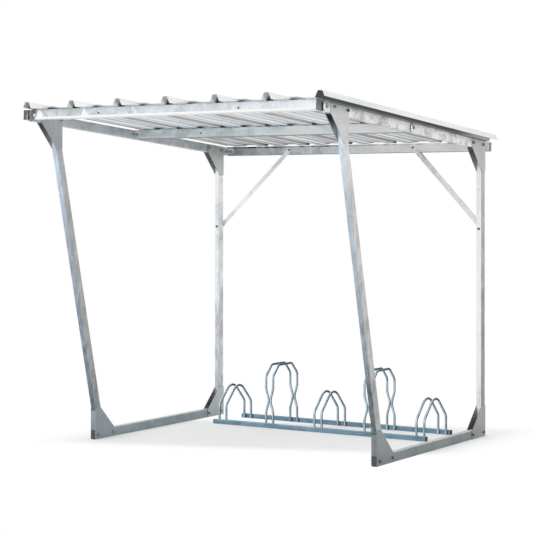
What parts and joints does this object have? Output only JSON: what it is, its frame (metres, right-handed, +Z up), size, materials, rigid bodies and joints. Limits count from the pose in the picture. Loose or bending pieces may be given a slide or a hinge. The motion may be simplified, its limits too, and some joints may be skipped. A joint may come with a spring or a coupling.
{
  "type": "bike shelter",
  "caption": "Open steel bike shelter with a low-fall profiled roof on two tube side frames, and a free-standing wheel rack of bent hoops inside.",
  "frame": {"origin": "on the ground, below the middle of the whole shelter's outline", "axes": "+X to the right seen from the open high front, +Y to the rear where the roof falls to, +Z up"},
  "size_m": [2.2172, 2.3796, 2.1783],
  "materials": {
    "frame_zinc": "hot-dip galvanised",
    "bracket_zinc": "galvanised plate",
    "disc_zinc": "zinc plated",
    "roof_zinc": "galvanised sheet",
    "rack_zinc": "electro-galvanised, bluish",
    "black_plastic": "moulded"
  },
  "bodies": {
    "root": {"front_purlin": "frame_zinc", "front_purlin_caps": "black_plastic", "high_hoop_2_left": "rack_zinc", "high_hoop_2_right": "rack_zinc", "high_hoop_4_left": "rack_zinc", "high_hoop_4_right": "rack_zinc", "left_base_beam": "frame_zinc", "left_base_caps": "black_plastic", "left_brace": "frame_zinc", "left_front_foot_bracket": "bracket_zinc", "left_front_head_bracket": "bracket_zinc", "left_front_post": "frame_zinc", "left_purlin_brackets": "bracket_zinc", "left_rafter": "frame_zinc", "left_rafter_discs": "disc_zinc", "left_rear_foot_bracket": "bracket_zinc", "left_rear_head_bracket": "bracket_zinc", "left_rear_post": "frame_zinc", "left_roof_sheet": "roof_zinc", "low_hoop_1_left": "rack_zinc", "low_hoop_1_right": "rack_zinc", "low_hoop_3_left": "rack_zinc", "low_hoop_3_right": "rack_zinc", "low_hoop_5_left": "rack_zinc", "low_hoop_5_right": "rack_zinc", "middle_purlin": "frame_zinc", "rack_front_rail": "rack_zinc", "rack_rail_caps": "black_plastic", "rack_rear_rail": "rack_zinc", "rear_purlin": "frame_zinc", "rear_purlin_caps": "black_plastic", "right_base_beam": "frame_zinc", "right_base_caps": "black_plastic", "right_brace": "frame_zinc", "right_front_foot_bracket": "bracket_zinc", "right_front_head_bracket": "bracket_zinc", "right_front_post": "frame_zinc", "right_purlin_brackets": "bracket_zinc", "right_rafter": "frame_zinc", "right_rafter_discs": "disc_zinc", "right_rear_foot_bracket": "bracket_zinc", "right_rear_head_bracket": "bracket_zinc", "right_rear_post": "frame_zinc", "right_roof_sheet": "roof_zinc"}
  },
  "joints": []
}
